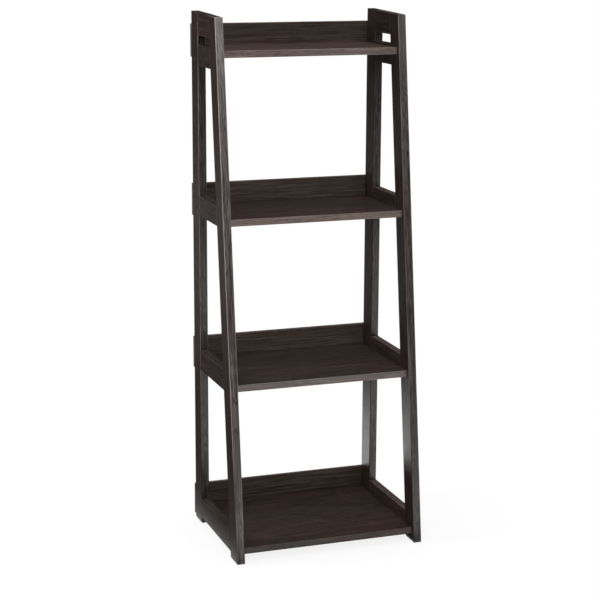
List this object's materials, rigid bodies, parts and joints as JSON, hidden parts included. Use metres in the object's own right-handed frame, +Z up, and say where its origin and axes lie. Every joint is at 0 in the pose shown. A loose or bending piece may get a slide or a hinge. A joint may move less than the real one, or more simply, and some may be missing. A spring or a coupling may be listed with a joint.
{
  "type": "ladder shelf",
  "caption": "Free-standing ladder shelf of dark wood-grain board: leaning front legs, upright rear legs, shelves that get shallower upwards and low back boards.",
  "frame": {"origin": "on the floor, under the centre of the overall box", "axes": "+X to the right seen from the front, the front faces -Y, +Z up"},
  "size_m": [0.43, 0.3318, 1.16],
  "materials": {
    "frame_laminate": "satin dark brown wood-grain laminate",
    "shelf_laminate": "satin dark brown wood-grain laminate",
    "back_laminate": "satin dark brown wood-grain laminate",
    "dowel_wood": "bare beech",
    "cam_metal": "zinc plated",
    "screw_metal": "black zinc plated"
  },
  "bodies": {
    "root": {"left_front_leg": "frame_laminate", "left_rear_leg": "frame_laminate", "left_bottom_rail": "frame_laminate", "left_lower_rail": "frame_laminate", "left_upper_rail": "frame_laminate", "left_top_rail": "frame_laminate", "left_cap_rail": "frame_laminate", "left_frame_dowels": "dowel_wood", "right_front_leg": "frame_laminate", "right_rear_leg": "frame_laminate", "right_bottom_rail": "frame_laminate", "right_lower_rail": "frame_laminate", "right_upper_rail": "frame_laminate", "right_top_rail": "frame_laminate", "right_cap_rail": "frame_laminate", "right_frame_dowels": "dowel_wood", "bottom_shelf": "shelf_laminate", "bottom_back_board": "back_laminate", "lower_shelf": "shelf_laminate", "lower_back_board": "back_laminate", "upper_shelf": "shelf_laminate", "upper_back_board": "back_laminate", "top_shelf": "shelf_laminate", "top_back_board": "back_laminate", "shelf_dowels": "dowel_wood", "cam_bolts": "cam_metal", "cam_locks": "cam_metal", "back_board_screws": "screw_metal"}
  },
  "joints": []
}
